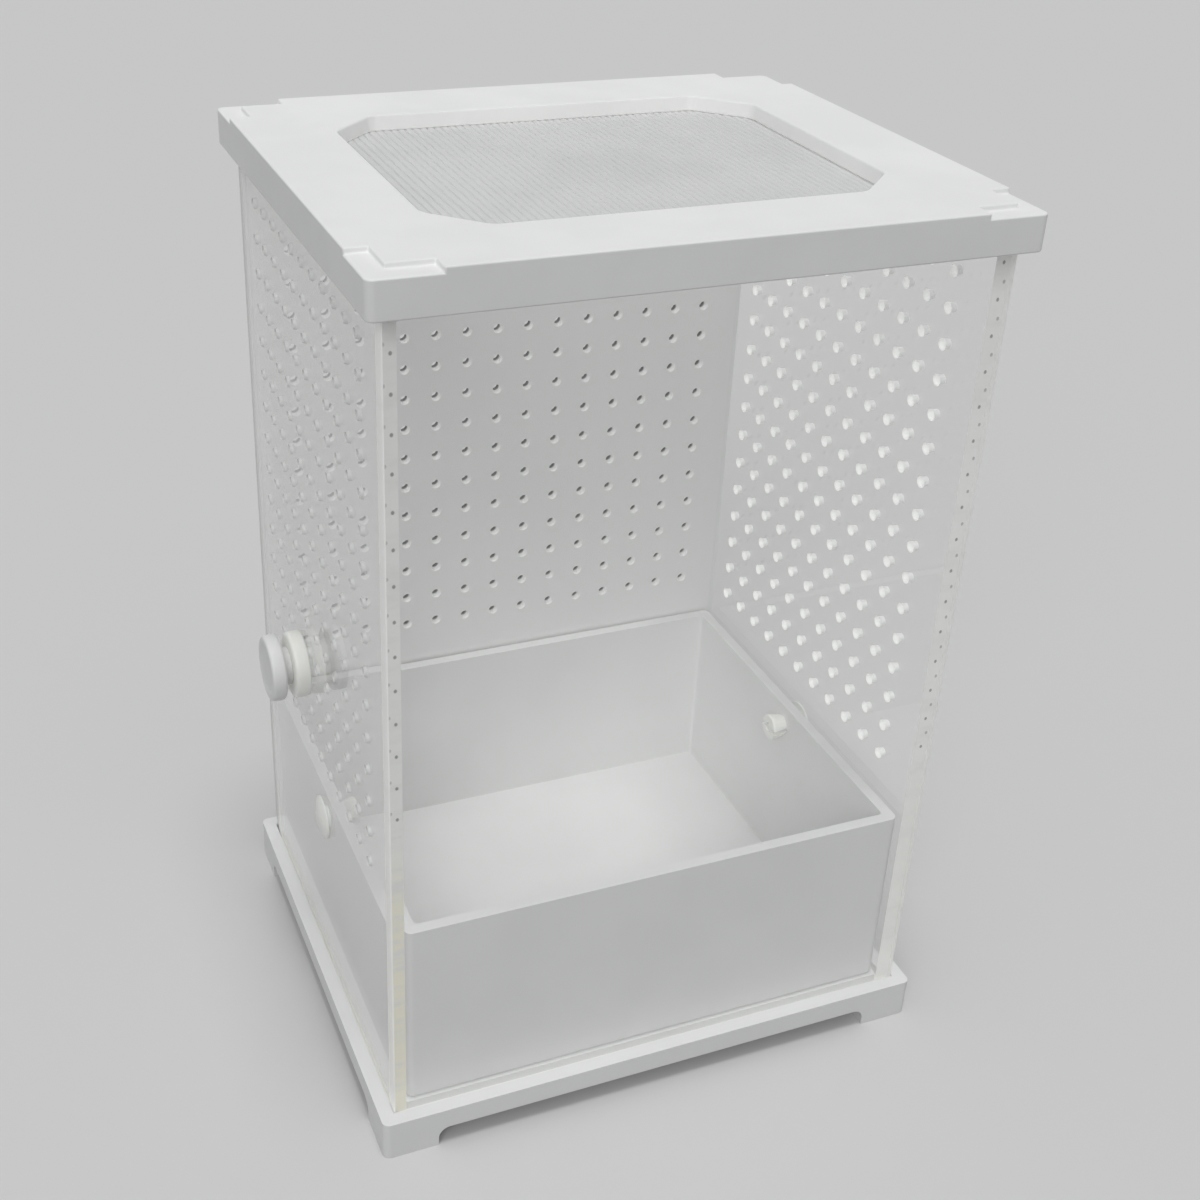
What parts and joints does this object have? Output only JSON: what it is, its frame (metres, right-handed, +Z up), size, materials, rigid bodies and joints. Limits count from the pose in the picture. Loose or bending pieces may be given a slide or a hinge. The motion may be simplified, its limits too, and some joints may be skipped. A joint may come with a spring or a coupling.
{
  "type": "acrylic reptile enclosure",
  "caption": "Small stacking acrylic enclosure for a reptile: perforated sheet box on a footed base, with a lift-off windowed lid, a riveted-in tray and a plugged port.",
  "frame": {"origin": "middle of the bounding box's bottom face, on the floor under the feet", "axes": "+Z up from the floor, -Y towards the clear front sheet, -X towards the plugged port, +X to the right"},
  "size_m": [0.1238, 0.102, 0.181],
  "materials": {
    "white_plastic": "satin moulded white",
    "white_sheet": "glossy opaque white sheet",
    "clear_sheet": "clear polished acrylic",
    "grey_plastic": "matte light grey",
    "natural_plastic": "translucent off-white"
  },
  "bodies": {
    "base": {"base_frame": "white_plastic"},
    "box": {"front_panel": "clear_sheet", "left_panel": "clear_sheet", "right_panel": "clear_sheet", "rear_panel": "white_sheet", "port_collar": "natural_plastic", "substrate_tray": "white_plastic", "rivet_left": "natural_plastic", "rivet_pin_left": "natural_plastic", "rivet_right": "natural_plastic", "rivet_pin_right": "natural_plastic"},
    "lid": {"lid_frame": "white_plastic", "vent_sheet": "grey_plastic"},
    "plug": {"port_plug": "white_plastic"}
  },
  "joints": [
    {"name": "box_lift", "type": "slide", "parent": "base", "child": "box", "axis": [0, 0, 1], "range_m": [0, 0.05]},
    {"name": "lid_lift", "type": "slide", "parent": "box", "child": "lid", "axis": [0, 0, 1], "range_m": [0, 0.04]},
    {"name": "plug_pull", "type": "slide", "parent": "box", "child": "plug", "axis": [-1, 0, 0], "range_m": [0, 0.02]}
  ]
}
